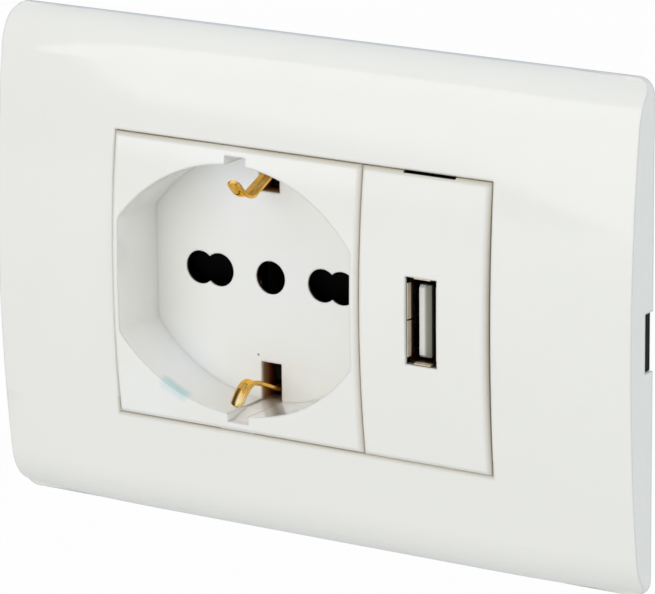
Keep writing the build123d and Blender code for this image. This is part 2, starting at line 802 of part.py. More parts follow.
# USB port: a folded steel shell with four lips at its mouth, the insulator's tongue, and four contacts
shell_mouth_out = front_crown - shell_setback
shell_back_out = shell_mouth_out - shell_length
shell_inside = (shell_width - 2 * shell_wall, shell_height - 2 * shell_wall)
tongue_height = shell_inside[1] - 2 * tongue_end_gap
tongue_x = usb_x + tongue_offset
tongue_face = tongue_x + tongue_thickness / 2
tongue_front_out = shell_mouth_out - tongue_setback
block_front_out = shell_back_out + insulator_block
shell_lead_angle = degrees(atan(shell_lead / shell_lead_length))
shell_corners = [(usb_x + sx * shell_width / 2, sz * shell_height / 2) for sx in (-1, 1) for sz in (-1, 1)]

with BuildPart() as usb_shell:
    with BuildSketch(Plane.XZ.offset(shell_back_out)):
        with Locations((usb_x, 0)):
            RectangleRounded(shell_width, shell_height, shell_corner_radius)
            RectangleRounded(*shell_inside, shell_corner_radius - shell_wall, mode=Mode.SUBTRACT)
        with Locations((usb_x - shell_width / 2, 0)):
            Rectangle(4 * shell_wall, shell_seam, mode=Mode.SUBTRACT)
    extrude(amount=shell_length)
    window_back = shell_window_setback + shell_window_length - shell_mouth_out
    window_middle = (shell_window_gap + shell_window_height) / 2
    leaf_height = shell_window_height - 2 * leaf_spring_slit
    with BuildSketch(Plane.YZ.offset(usb_x - shell_width)):
        with Locations((window_back, -window_middle), (window_back, window_middle)):
            Rectangle(shell_window_length, shell_window_height, align=(Align.MAX, Align.CENTER))
            Rectangle(leaf_spring_length, leaf_height, align=(Align.MAX, Align.CENTER), mode=Mode.SUBTRACT)
    extrude(amount=2 * shell_width, mode=Mode.SUBTRACT)
    with BuildSketch(Plane.XZ.offset(shell_mouth_out)):
        with Locations((usb_x, 0)):
            Rectangle(shell_inside[0] + 2 * shell_lead, shell_inside[1] + 2 * shell_lead)
    extrude(amount=-shell_lead_length, taper=shell_lead_angle, mode=Mode.SUBTRACT)
    with BuildSketch(Plane.XZ.offset(shell_mouth_out)):
        with Locations(*shell_corners):
            Rectangle(2 * shell_notch_width, 2 * shell_notch_height)
    extrude(amount=-shell_lead_length, mode=Mode.SUBTRACT)
usb_shell.part.label = "usb_shell"
export_step(usb_shell.part, "parts/usb_shell.step")

with BuildPart() as usb_contacts:
    strip_back = -shell_back_out + contact_tail
    for z in contact_strip_places:
        with BuildSketch(Plane.XY.offset(z - tongue_drop - contact_strip_width / 2)):
            with BuildLine():
                Polyline(
                    (tongue_face, contact_strip_setback - tongue_front_out),
                    (tongue_face, strip_back),
                    (board_left, strip_back),
                    (board_left, strip_back - contact_strip_thickness),
                    (tongue_face + contact_strip_thickness, strip_back - contact_strip_thickness),
                    (tongue_face + contact_strip_thickness, contact_strip_setback - tongue_front_out),
                    close=True,
                )
            make_face()
        extrude(amount=contact_strip_width)
usb_contacts.part.label = "usb_contacts"
export_step(usb_contacts.part, "parts/usb_contacts.step")

with BuildPart() as usb_insulator:
    with BuildSketch(Plane.XY.offset(-tongue_drop - tongue_height / 2)):
        with BuildLine():
            Polyline(
                (tongue_face - tongue_thickness, -block_front_out),
                (tongue_face - tongue_thickness, -tongue_front_out),
                (tongue_face - tongue_lead, -tongue_front_out),
                (tongue_face, tongue_lead_length - tongue_front_out),
                (tongue_face, -block_front_out),
                close=True,
            )
        make_face()
    extrude(amount=tongue_height)
    chamfer(usb_insulator.faces().sort_by(Axis.Y)[0].edges().filter_by(Axis.X), length=tongue_corner)
    with BuildSketch(Plane.XZ.offset(shell_back_out)):
        with Locations((usb_x, 0)):
            RectangleRounded(*shell_inside, shell_corner_radius - shell_wall)
    extrude(amount=insulator_block)
    add(usb_contacts.part, mode=Mode.SUBTRACT)
usb_insulator.part.label = "usb_insulator"
export_step(usb_insulator.part, "parts/usb_insulator.step")


# Charger board, held by its edges in the rear case
board_front_out = front_crown - usb_skin - board_front_gap

with BuildPart() as circuit_board:
    with BuildSketch(Plane.XZ.offset(-case_floor)):
        with Locations(((board_left + board_right) / 2, 0)):
            Rectangle(board_thickness, case_inside - 2 * board_edge_gap)
    extrude(amount=case_floor + board_front_out)
circuit_board.part.label = "circuit_board"
export_step(circuit_board.part, "parts/circuit_board.step")


# Transformer: a closed pair of E-shaped cores, and the winding on their middle leg
core_height = core_leg + 2 * core_window + 2 * core_outer_leg
core_inside = core_length - 2 * core_yoke
winding_reach = core_window - winding_margin
core_up = case_inside / 2 - core_case_gap - core_height / 2
core_x = board_left - core_thickness / 2 - winding_reach
core_middle = core_length / 2 - core_front_out

with BuildPart() as transformer_core:
    with BuildSketch(Plane.YZ.offset(core_x - core_thickness / 2)):
        with Locations((core_middle, core_up)):
            Rectangle(core_length, core_height)
        window_up = (core_leg + core_window) / 2
        with Locations((core_middle, core_up - window_up), (core_middle, core_up + window_up)):
            Rectangle(core_inside, core_window, mode=Mode.SUBTRACT)
    extrude(amount=core_thickness)
transformer_core.part.label = "transformer_core"
export_step(transformer_core.part, "parts/transformer_core.step")

with BuildPart() as transformer_winding:
    with BuildSketch(Plane.XZ.offset(-core_middle - core_inside / 2 + winding_margin)):
        with Locations((core_x, core_up)):
            RectangleRounded(
                core_thickness + 2 * winding_reach, core_leg + 2 * winding_reach, winding_corner_radius
            )
            Rectangle(core_thickness, core_leg, mode=Mode.SUBTRACT)
    extrude(amount=core_inside - 2 * winding_margin)
transformer_winding.part.label = "transformer_winding"
export_step(transformer_winding.part, "parts/transformer_winding.step")


# Capacitors: cans that stand on the board
def standing_can(radius, length):
    """Can along -X with its foot on the YZ plane."""
    with BuildPart() as can:
        with BuildSketch(Plane.YZ.offset(-length)):
            Circle(radius)
        extrude(amount=length)
        chamfer(can.faces().sort_by(Axis.X)[0].edges(), length=can_edge_chamfer)
    return can.part


for name, out, side, radius, length in (
    ("input_capacitor", input_can_out, -1, input_can_radius, input_can_length),
    ("output_capacitor", output_can_out, 1, output_can_radius, output_can_length),
):
    with BuildPart() as capacitor:
        with Locations((board_left, -out, side * (case_inside / 2 - can_case_gap - radius))):
            add(standing_can(radius, length))
    capacitor.part.label = name
    export_step(capacitor.part, f"parts/{name}.step")


# Rectifier, controller chip and filter choke, flat on the board
with BuildPart() as rectifier:
    with BuildSketch(Plane.YZ.offset(board_left - rectifier_thickness)):
        with Locations((-rectifier_out, rectifier_up)):
            Rectangle(rectifier_side, rectifier_side)
    extrude(amount=rectifier_thickness)
rectifier.part.label = "rectifier"
export_step(rectifier.part, "parts/rectifier.step")

with BuildPart() as controller_chip:
    with BuildSketch(Plane.YZ.offset(board_left - chip_thickness)):
        with Locations((-chip_out, 0)):
            Rectangle(chip_width, chip_length)
    extrude(amount=chip_thickness)
controller_chip.part.label = "controller_chip"
export_step(controller_chip.part, "parts/controller_chip.step")

choke_up = can_case_gap + choke_flange_radius - case_inside / 2

with BuildPart() as filter_choke:
    with BuildSketch(Plane.YZ.offset(board_left - choke_height)):
        with Locations((-choke_out, choke_up)):
            Circle(choke_core_radius)
    extrude(amount=choke_height)
    with BuildSketch(Plane.YZ.offset(board_left - choke_height)):
        with Locations((-choke_out, choke_up)):
            Circle(choke_flange_radius)
    extrude(amount=choke_flange)
filter_choke.part.label = "filter_choke"
export_step(filter_choke.part, "parts/filter_choke.step")


# Mains terminals of the charger: a block on the board, two clamps and their screws
usb_clamp_back = case_floor - usb_head_room
usb_pocket = usb_head_room + usb_clamp_length
usb_block_height = usb_terminal_spacing + usb_clamp_height + 2 * usb_block_wall
usb_screw_length = usb_clamp_length - screw_tip_gap

with BuildPart() as usb_terminal_block:
    with BuildSketch(Plane.XZ.offset(-case_floor)):
        with Locations((usb_block_x, 0)):
            Rectangle(usb_block_width, usb_block_height)
    extrude(amount=usb_pocket + usb_block_base)
    with BuildSketch(Plane.XZ.offset(-case_floor)):
        with Locations(*[(usb_block_x, z) for z in usb_terminal_heights]):
            Rectangle(usb_clamp_width, usb_clamp_height)
    extrude(amount=usb_pocket, mode=Mode.SUBTRACT)
usb_terminal_block.part.label = "usb_terminal_block"
export_step(usb_terminal_block.part, "parts/usb_terminal_block.step")

with BuildPart() as usb_clamps:
    with BuildSketch(Plane.XZ.offset(-usb_clamp_back)):
        with Locations(*[(usb_block_x, z) for z in usb_terminal_heights]):
            Rectangle(usb_clamp_width, usb_clamp_height)
        with Locations(*usb_screw_places):
            Circle(usb_screw_radius, mode=Mode.SUBTRACT)
        with Locations(*usb_wire_places):
            Rectangle(2 * usb_wire_radius, 2 * usb_wire_radius, mode=Mode.SUBTRACT)
    extrude(amount=usb_clamp_length)
usb_clamps.part.label = "usb_clamps"
export_step(usb_clamps.part, "parts/usb_clamps.step")

with BuildPart() as usb_screws:
    with Locations(*[(x, usb_clamp_back, z) for x, z in usb_screw_places]):
        add(slotted_screw(usb_screw_radius, usb_screw_length, usb_screw_head_radius, usb_screw_head_height))
usb_screws.part.label = "usb_screws"
export_step(usb_screws.part, "parts/usb_screws.step")
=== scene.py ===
from math import cos, pi, radians, sin

import bpy
from mathutils import Matrix, Vector


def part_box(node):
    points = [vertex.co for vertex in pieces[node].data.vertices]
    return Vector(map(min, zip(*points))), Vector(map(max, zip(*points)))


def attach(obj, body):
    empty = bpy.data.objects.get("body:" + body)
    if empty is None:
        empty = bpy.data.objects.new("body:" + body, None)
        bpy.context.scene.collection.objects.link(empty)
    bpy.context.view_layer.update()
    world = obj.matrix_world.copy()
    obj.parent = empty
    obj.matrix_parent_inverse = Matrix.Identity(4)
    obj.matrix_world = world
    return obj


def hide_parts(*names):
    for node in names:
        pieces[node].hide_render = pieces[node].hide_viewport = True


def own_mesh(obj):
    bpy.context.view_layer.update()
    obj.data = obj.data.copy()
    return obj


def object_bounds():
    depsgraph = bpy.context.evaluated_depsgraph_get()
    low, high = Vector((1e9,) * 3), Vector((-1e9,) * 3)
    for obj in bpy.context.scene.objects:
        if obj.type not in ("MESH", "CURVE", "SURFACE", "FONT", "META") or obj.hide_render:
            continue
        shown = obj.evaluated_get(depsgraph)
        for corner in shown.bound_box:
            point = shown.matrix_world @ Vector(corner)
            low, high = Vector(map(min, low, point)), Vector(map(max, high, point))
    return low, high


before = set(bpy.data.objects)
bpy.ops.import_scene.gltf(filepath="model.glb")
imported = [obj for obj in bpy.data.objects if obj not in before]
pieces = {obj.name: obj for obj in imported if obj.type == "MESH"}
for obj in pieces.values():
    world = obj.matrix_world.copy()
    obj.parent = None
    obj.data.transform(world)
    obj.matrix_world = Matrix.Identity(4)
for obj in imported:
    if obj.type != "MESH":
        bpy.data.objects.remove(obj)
cad_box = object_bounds()

# Mounting frame
# A flat moulding screwed to the wall box. It carries the modules, and the plate clips over it.
# Glass-filled polyamide from a spark-eroded mould: black, with a fine matt grain.
MM = 0.001


def linear(code):
    """Linear RGBA colour of an sRGB hex code."""
    shares = [int(code[i:i + 2], 16) / 255 for i in (1, 3, 5)]
    return (*[s / 12.92 if s <= 0.04045 else ((s + 0.055) / 1.055) ** 2.4 for s in shares], 1.0)


def add(tree, kind, inputs=None, **settings):
    """Adds one node: its settings by name, and its inputs as values or as sockets to link."""
    node = tree.nodes.new(kind)
    for name, value in settings.items():
        setattr(node, name, value)
    for name, value in (inputs or {}).items():
        if isinstance(value, bpy.types.NodeSocket):
            tree.links.new(value, node.inputs[name])
        else:
            node.inputs[name].default_value = value
    return node


def blank_material(name):
    """New material as (material, tree, shader), with one plain surface shader."""
    material = bpy.data.materials.new(name)
    material.use_nodes = True
    return material, material.node_tree, material.node_tree.nodes["Principled BSDF"]


def dress(material, *names):
    """Gives CAD pieces their finish."""
    for name in names:
        pieces[name].material_slots[0].material = material


CLOUD_SIZE = 12 * MM
GRAIN_SPREAD = 0.2


def moulded(name, low, high, roughness, grain_mm, depth_mm, edge_mm=0.1, shine=0.5):
    """Plastic with a faint cloudy tone between two colours, the grain of its mould and softened edges.

    The grain is drawn coarser than a real mould's, so that it shows.
    """
    material, tree, shader = blank_material(name)
    shader.inputs["Specular IOR Level"].default_value = shine
    place = add(tree, "ShaderNodeTexCoord").outputs["Object"]
    cloud = add(tree, "ShaderNodeTexNoise", {"Vector": place, "Scale": 1 / CLOUD_SIZE, "Detail": 3.0})
    tone = add(tree, "ShaderNodeMix", {
        "Factor": cloud.outputs["Fac"], "A": linear(low), "B": linear(high)}, data_type="RGBA")
    tree.links.new(tone.outputs["Result"], shader.inputs["Base Color"])
    grain = add(tree, "ShaderNodeTexNoise", {"Vector": place, "Scale": 1 / (grain_mm * MM), "Detail": 2.0})
    sheen = add(tree, "ShaderNodeMapRange", {
        "Value": grain.outputs["Fac"], "To Min": (1 - GRAIN_SPREAD) * roughness,
        "To Max": (1 + GRAIN_SPREAD) * roughness})
    tree.links.new(sheen.outputs["Result"], shader.inputs["Roughness"])
    bump = add(tree, "ShaderNodeBump", {
        "Height": grain.outputs["Fac"], "Strength": 0.5, "Distance": depth_mm * MM})
    edge = add(tree, "ShaderNodeBevel", {"Radius": edge_mm * MM}, samples=6)
    tree.links.new(edge.outputs["Normal"], bump.inputs["Normal"])
    tree.links.new(bump.outputs["Normal"], shader.inputs["Normal"])
    return material


def tint(material, share, colour):
    """Lays a second colour over a finish, as far as a share from 0 to 1 at each place."""
    tree = material.node_tree
    goal = tree.nodes["Principled BSDF"].inputs["Base Color"]
    mixed = add(tree, "ShaderNodeMix", {
        "Factor": share, "A": goal.links[0].from_socket, "B": linear(colour)}, data_type="RGBA")
    tree.links.new(mixed.outputs["Result"], goal)


def ramp(material, axis, start, end):
    """Share that grows from 0 to 1 between two places along an axis."""
    tree = material.node_tree
    place = add(tree, "ShaderNodeTexCoord").outputs["Object"]
    along = add(tree, "ShaderNodeSeparateXYZ", {"Vector": place}).outputs[axis]
    share = add(tree, "ShaderNodeMapRange", {"Value": along, "From Min": start, "From Max": end})
    return share.outputs["Result"]


frame_black = moulded(
    "black_polyamide", "#17171A", "#1E1E21", roughness=0.65, grain_mm=0.35, depth_mm=0.02, shine=0.3)
# The ends of the prising tabs lie in the plate's notches; there they are painted near black as painted
# shade.
TAB_START = 50 * MM
TAB_FADE = 1 * MM
for side in (-1, 1):
    tab_shade = ramp(frame_black, "X", side * TAB_START, side * (TAB_START + TAB_FADE))
    tint(frame_black, tab_shade, "#030304")
dress(frame_black, "mounting_frame")

# Rear bodies
# Deep boxes behind the fronts that hold the live parts, snapped on by four arms.
# Polyamide from a smoothed mould: dark grey and satin. Where it lies behind the clip windows it is painted
# black as painted shade.
def within(material, box, soft_mm):
    """Share that is 1 in a box, given by two corners in millimetres, and falls to 0 at its faces."""
    tree = material.node_tree
    place = add(tree, "ShaderNodeTexCoord").outputs["Object"]
    middle = [(a + b) / 2 * MM for a, b in zip(*box)]
    half = [(b - a) / 2 * MM for a, b in zip(*box)]
    apart = add(tree, "ShaderNodeVectorMath", {0: place, 1: middle}, operation="SUBTRACT")
    size = add(tree, "ShaderNodeVectorMath", {0: apart.outputs["Vector"]}, operation="ABSOLUTE")
    past = add(tree, "ShaderNodeVectorMath", {0: size.outputs["Vector"], 1: half}, operation="SUBTRACT")
    parts = add(tree, "ShaderNodeSeparateXYZ", {"Vector": past.outputs["Vector"]}).outputs
    level = add(tree, "ShaderNodeMath", {0: parts["X"], 1: parts["Y"]}, operation="MAXIMUM")
    most = add(tree, "ShaderNodeMath", {0: level.outputs["Value"], 1: parts["Z"]}, operation="MAXIMUM")
    share = add(tree, "ShaderNodeMapRange", {
        "Value": most.outputs["Value"], "From Min": 0.0, "From Max": -soft_mm * MM})
    return share.outputs["Result"]


rear_grey = moulded(
    "satin_polyamide", "#2C2D2F", "#35363A", roughness=0.45, grain_mm=0.5, depth_mm=0.015)
CLIP_WINDOW_HEIGHTS = ((-20.4, -11.5), (11.5, 20.4))
# Painted shade: near black behind the clip windows.
for low, high in CLIP_WINDOW_HEIGHTS:
    rear_shade_box = ((-16.0, 4.0, low), (-6.0, 9.0, high))
    tint(rear_grey, within(rear_grey, rear_shade_box, 0.5), "#060302")
dress(rear_grey, "socket_rear", "usb_rear_case")

# Safety shutter and spring
# A plate behind the line holes. Two pins push on its slopes, and it slides up against the spring.
# Black acetal, dull in the dark of the holes, and drawn steel wire with a soft grey shine.
shutter_black = moulded(
    "black_acetal", "#020202", "#040404", roughness=0.8, grain_mm=0.5, depth_mm=0.01, shine=0.05)
dress(shutter_black, "shutter")

LINE_SPACING = 0.25 * MM
LINE_SPREAD = 0.07


def metal(name, low, high, roughness, patch_mm, streak, depth_mm=0.006):
    """Bare metal: a drifting tone, and fine lines drawn out along one axis by rolling or drawing.

    The lines are spaced wider than real ones, so that they show.
    """
    material, tree, shader = blank_material(name)
    shader.inputs["Metallic"].default_value = 1.0
    shader.inputs["Specular Tint"].default_value = linear(high)
    place = add(tree, "ShaderNodeTexCoord").outputs["Object"]
    patch = add(tree, "ShaderNodeTexNoise", {"Vector": place, "Scale": 1 / (patch_mm * MM), "Detail": 3.0})
    tone = add(tree, "ShaderNodeMix", {
        "Factor": patch.outputs["Fac"], "A": linear(low), "B": linear(high)}, data_type="RGBA")
    tree.links.new(tone.outputs["Result"], shader.inputs["Base Color"])
    drawn = add(tree, "ShaderNodeMapping", {"Vector": place, "Scale": streak})
    lines = add(tree, "ShaderNodeTexNoise", {"Vector": drawn.outputs["Vector"], "Scale": 1 / LINE_SPACING})
    sheen = add(tree, "ShaderNodeMapRange", {
        "Value": lines.outputs["Fac"], "To Min": roughness - LINE_SPREAD,
        "To Max": roughness + LINE_SPREAD})
    tree.links.new(sheen.outputs["Result"], shader.inputs["Roughness"])
    bump = add(tree, "ShaderNodeBump", {
        "Height": lines.outputs["Fac"], "Strength": 0.3, "Distance": depth_mm * MM})
    tree.links.new(bump.outputs["Normal"], shader.inputs["Normal"])
    return material


ALONG_Y = (1.0, 0.05, 1.0)
ALONG_Z = (1.0, 1.0, 0.05)
spring_steel = metal("spring_steel", "#8A8A8C", "#A4A4A6", roughness=0.3, patch_mm=1.0, streak=ALONG_Z)


def geometry_tree(name, sizes):
    """Geometry tree that works on a base, as (tree, inputs), with a named input for each size."""
    tree = bpy.data.node_groups.new(name, "GeometryNodeTree")
    tree.interface.new_socket("Base", in_out="INPUT", socket_type="NodeSocketGeometry")
    for size in sizes:
        tree.interface.new_socket(size, in_out="INPUT", socket_type="NodeSocketFloat")
    tree.interface.new_socket("Piece", in_out="OUTPUT", socket_type="NodeSocketGeometry")
    return tree, add(tree, "NodeGroupInput").outputs


def grow(name, tree, result, material, sizes, base):
    """Ends a tree at its result, runs it on a base mesh and gives the piece with a plain mesh."""
    whole = add(tree, "GeometryNodeRealizeInstances", {"Geometry": result})
    finished = add(tree, "GeometryNodeSetMaterial", {
        "Geometry": whole.outputs["Geometry"], "Material": material})
    add(tree, "NodeGroupOutput", {"Piece": finished.outputs["Geometry"]})
    piece = bpy.data.objects.new(name, base)
    bpy.context.scene.collection.objects.link(piece)
    modifier = piece.modifiers.new(name, "NODES")
    modifier.node_group = tree
    for socket in tree.interface.items_tree:
        if socket.name in sizes:
            modifier[socket.identifier] = sizes[socket.name]
    grown = piece.evaluated_get(bpy.context.evaluated_depsgraph_get())
    plain = bpy.data.meshes.new_from_object(grown)
    piece.modifiers.remove(modifier)
    piece.data = plain
    return piece


spring_low, spring_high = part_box("shutter_spring")
spring_middle = (spring_low + spring_high) / 2
WIRE_RADIUS = 0.18 * MM
COIL_RADIUS = 1.02 * MM
spring_sizes = {
    "Turns": 3.0, "Coil Radius": COIL_RADIUS, "Wire Radius": WIRE_RADIUS,
    "Coil Length": spring_high.z - spring_low.z - 2 * WIRE_RADIUS}
tree, sized = geometry_tree("coiled_wire", spring_sizes)
coil = add(tree, "GeometryNodeCurveSpiral", {
    "Resolution": 32, "Rotations": sized["Turns"], "Start Radius": sized["Coil Radius"],
    "End Radius": sized["Coil Radius"], "Height": sized["Coil Length"]})
wire = add(tree, "GeometryNodeCurvePrimitiveCircle", {"Resolution": 12, "Radius": sized["Wire Radius"]})
wound = add(tree, "GeometryNodeCurveToMesh", {
    "Curve": coil.outputs["Curve"], "Profile Curve": wire.outputs["Curve"], "Fill Caps": True})
placed = add(tree, "GeometryNodeTransform", {
    "Geometry": wound.outputs["Mesh"],
    "Translation": (spring_middle.x, spring_middle.y, spring_low.z + WIRE_RADIUS)})
spring = grow("coil_spring", tree, placed.outputs["Geometry"], spring_steel, spring_sizes,
              bpy.data.meshes.new("coil_spring"))
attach(spring, "wall_socket")
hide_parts("shutter_spring")
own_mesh(spring)

# Contacts and clamps
# Leaves bent to grip the plug's pins, and the terminal blocks that the wires are clamped in.
# Rolled brass: bright and warm, with fine lines along the strip.
brass = metal("rolled_brass", "#D29A3C", "#F0C87C", roughness=0.2, patch_mm=1.5, streak=ALONG_Y)
dress(brass, "live_contact", "neutral_contact", "earth_contact", "socket_clamps", "usb_clamps")

# Earth bridge
# One brass strip bent round behind the socket, whose two ends curl into the recess as the earth clips.
# A trough pressed along it stiffens the clips. The brass is polished; its brown streaks are painted
# reflections, and the lower clip's tip carries a painted highlight.
def near(material, reach_mm, spot, end=None):
    """Share that is 1 at a spot, or on the line from it to an end, and falls to 0 at a reach.

    All of it is in millimetres.
    """
    tree = material.node_tree
    place = add(tree, "ShaderNodeTexCoord").outputs["Object"]
    closest = Vector(spot) * MM
    if end:
        line = Vector(end) * MM - closest
        ahead = add(tree, "ShaderNodeVectorMath", {0: place, 1: closest}, operation="SUBTRACT")
        passed = add(tree, "ShaderNodeVectorMath", {
            0: ahead.outputs["Vector"], 1: line / line.length_squared}, operation="DOT_PRODUCT")
        reached = add(tree, "ShaderNodeClamp", {"Value": passed.outputs["Value"]})
        step = add(tree, "ShaderNodeVectorMath", {
            0: line, "Scale": reached.outputs["Result"]}, operation="SCALE")
        closest = add(tree, "ShaderNodeVectorMath", {
            0: step.outputs["Vector"], 1: closest}, operation="ADD").outputs["Vector"]
    apart = add(tree, "ShaderNodeVectorMath", {0: place, 1: closest}, operation="DISTANCE")
    share = add(tree, "ShaderNodeMapRange", {
        "Value": apart.outputs["Value"], "From Min": reach_mm * MM, "From Max": 0.0},
        interpolation_type="SMOOTHSTEP")
    return share.outputs["Result"]


STREAK_WIDTH = 0.4 * MM
ALONG_STRIP = (1.0, 0.1, 0.1)
TIP_HIGHLIGHT = (-11.0, -7.8, -17.6)
bridge_brass = metal(
    "pressed_brass", "#F4AE3C", "#FFDC8C", roughness=0.12, patch_mm=0.9, streak=ALONG_Y, depth_mm=0.004)
tree = bridge_brass.node_tree
place = add(tree, "ShaderNodeTexCoord").outputs["Object"]
drawn = add(tree, "ShaderNodeMapping", {"Vector": place, "Scale": ALONG_STRIP})
# Painted reflection: dark brown streaks along the strip stand in for dark surroundings mirrored in the
# polished brass.
streaks = add(tree, "ShaderNodeTexNoise", {"Vector": drawn.outputs["Vector"], "Scale": 1 / STREAK_WIDTH})
streak_reflection = add(tree, "ShaderNodeMapRange", {
    "Value": streaks.outputs["Fac"], "From Min": 0.5, "From Max": 0.75, "To Min": 0.0, "To Max": 0.8})
tint(bridge_brass, streak_reflection.outputs["Result"], "#7A4408")
# Painted highlight: a pale spot near the lower clip's tip.
tint(bridge_brass, near(bridge_brass, 2.2, TIP_HIGHLIGHT), "#FFEAB4")

strip_low, strip_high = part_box("earth_bridge")
strip_middle = (strip_low + strip_high) / 2
# Corners of the upper half from the clip's tip to the back: place in depth, height and bend radius, in mm.
half_path = (
    (-8.3, 17.7, 0.0), (-6.64, 15.75, 6.0), (-4.4, 14.5, 2.4), (3.4, 17.7, 2.0), (22.5, 17.7, 2.0))
strip_path = [*half_path, *[(y, -z, bend) for y, z, bend in reversed(half_path)]]
route = bpy.data.meshes.new("earth_strip")
route.from_pydata(
    [(0.0, y * MM, strip_middle.z + z * MM) for y, z, bend in strip_path],
    [(i, i + 1) for i in range(len(strip_path) - 1)], [])
bends = route.attributes.new("bend", "FLOAT", "POINT")
bends.data.foreach_set("value", [bend * MM for y, z, bend in strip_path])
strip_sizes = {
    "Width": strip_high.x - strip_low.x, "Thickness": 0.6 * MM, "Edge Radius": 0.15 * MM,
    "Trough Depth": 0.15 * MM, "Tip Radius": 0.7 * MM, "Tip Flat": 0.9 * MM, "Step": 0.3 * MM}
tree, sized = geometry_tree("bent_strip", strip_sizes)

# The strip's cross-section: a flat oblong with rounded edges, sunk to a trough along its middle.
outline = add(tree, "GeometryNodeCurvePrimitiveQuadrilateral", {
    "Width": sized["Width"], "Height": sized["Thickness"]})
rounded = add(tree, "GeometryNodeFilletCurve", {
    "Curve": outline.outputs["Curve"], "Count": 4, "Radius": sized["Edge Radius"]}, mode="POLY")
even = add(tree, "GeometryNodeResampleCurve", {
    "Curve": rounded.outputs["Curve"], "Count": 64}, mode="COUNT")
place = add(tree, "GeometryNodeInputPosition").outputs["Position"]
parts = add(tree, "ShaderNodeSeparateXYZ", {"Vector": place}).outputs
across = add(tree, "ShaderNodeMath", {0: parts["X"], 1: sized["Width"]}, operation="DIVIDE")
turn = add(tree, "ShaderNodeMath", {0: across.outputs["Value"], 1: 2 * pi}, operation="MULTIPLY")
wave = add(tree, "ShaderNodeMath", {0: turn.outputs["Value"]}, operation="COSINE")
dip = add(tree, "ShaderNodeMapRange", {
    "Value": wave.outputs["Value"], "From Min": -1.0, "From Max": 1.0, "To Max": sized["Trough Depth"]})
sunk = add(tree, "ShaderNodeMath", {0: dip.outputs["Result"], 1: -1.0}, operation="MULTIPLY")
pressed = add(tree, "GeometryNodeSetPosition", {
    "Geometry": even.outputs["Curve"],
    "Offset": add(tree, "ShaderNodeCombineXYZ", {"Y": sunk.outputs["Value"]}).outputs["Vector"]})

# Its route, bent at the corners, with the way to the nearer tip marked at each step.
corners = add(tree, "GeometryNodeMeshToCurve", {"Mesh": sized["Base"]})
bend = add(tree, "GeometryNodeInputNamedAttribute", {"Name": "bend"}, data_type="FLOAT")
bent = add(tree, "GeometryNodeFilletCurve", {
    "Curve": corners.outputs["Curve"], "Count": 16, "Radius": bend.outputs["Attribute"],
    "Limit Radius": True}, mode="POLY")
steps = add(tree, "GeometryNodeResampleCurve", {
    "Curve": bent.outputs["Curve"], "Length": sized["Step"]}, mode="LENGTH")
along = add(tree, "GeometryNodeSplineParameter").outputs["Length"]
total = add(tree, "GeometryNodeSplineLength").outputs["Length"]
left = add(tree, "ShaderNodeMath", {0: total, 1: along}, operation="SUBTRACT")
nearest = add(tree, "ShaderNodeMath", {0: along, 1: left.outputs["Value"]}, operation="MINIMUM")
marked = add(tree, "GeometryNodeCaptureAttribute", {"Geometry": steps.outputs["Curve"]})
marked.capture_items.new("FLOAT", "From Tip")
tree.links.new(nearest.outputs["Value"], marked.inputs["From Tip"])
strip = add(tree, "GeometryNodeCurveToMesh", {
    "Curve": marked.outputs["Geometry"], "Profile Curve": pressed.outputs["Geometry"], "Fill Caps": True})

# Both tips narrow along an arc to a short flat end.
inward = add(tree, "ShaderNodeMapRange", {
    "Value": marked.outputs["From Tip"], "From Max": sized["Tip Radius"], "To Min": 1.0, "To Max": 0.0})
square = add(tree, "ShaderNodeMath", {0: inward.outputs["Result"], 1: 2.0}, operation="POWER")
under = add(tree, "ShaderNodeMath", {0: 1.0, 1: square.outputs["Value"]}, operation="SUBTRACT")
arc = add(tree, "ShaderNodeMath", {0: under.outputs["Value"]}, operation="SQRT")
flat = add(tree, "ShaderNodeMath", {0: sized["Tip Flat"], 1: sized["Width"]}, operation="DIVIDE")
narrow = add(tree, "ShaderNodeMapRange", {"Value": arc.outputs["Value"], "To Min": flat.outputs["Value"]})
slim = add(tree, "ShaderNodeMath", {0: parts["X"], 1: narrow.outputs["Result"]}, operation="MULTIPLY")
tipped = add(tree, "GeometryNodeSetPosition", {
    "Geometry": strip.outputs["Mesh"],
    "Position": add(tree, "ShaderNodeCombineXYZ", {
        "X": slim.outputs["Value"], "Y": parts["Y"], "Z": parts["Z"]}).outputs["Vector"]})
placed = add(tree, "GeometryNodeTransform", {
    "Geometry": tipped.outputs["Geometry"], "Translation": (strip_middle.x, 0.0, 0.0)})
bridge = grow("earth_strip", tree, placed.outputs["Geometry"], bridge_brass, strip_sizes, route)
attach(bridge, "wall_socket")
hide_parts("earth_bridge")

# Terminal screws
# Slotted cheese-head screws, driven from behind to clamp the wires in their blocks.
# Zinc-plated steel: pale grey with a soft shine.
screw_steel = metal("plated_steel", "#A8A8A4", "#C4C4C0", roughness=0.3, patch_mm=1.2, streak=ALONG_Y)
dress(screw_steel, "socket_screws", "usb_screws")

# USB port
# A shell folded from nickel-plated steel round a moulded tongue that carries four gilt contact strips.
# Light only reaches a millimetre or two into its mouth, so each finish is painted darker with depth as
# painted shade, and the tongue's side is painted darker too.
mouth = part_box("usb_shell")[0].y
tongue_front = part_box("usb_insulator")[0].y
PORT_X = 22.5 * MM
nickel = metal("nickel_plate", "#C8B698", "#EADBC2", roughness=0.35, patch_mm=2.0, streak=ALONG_Y)
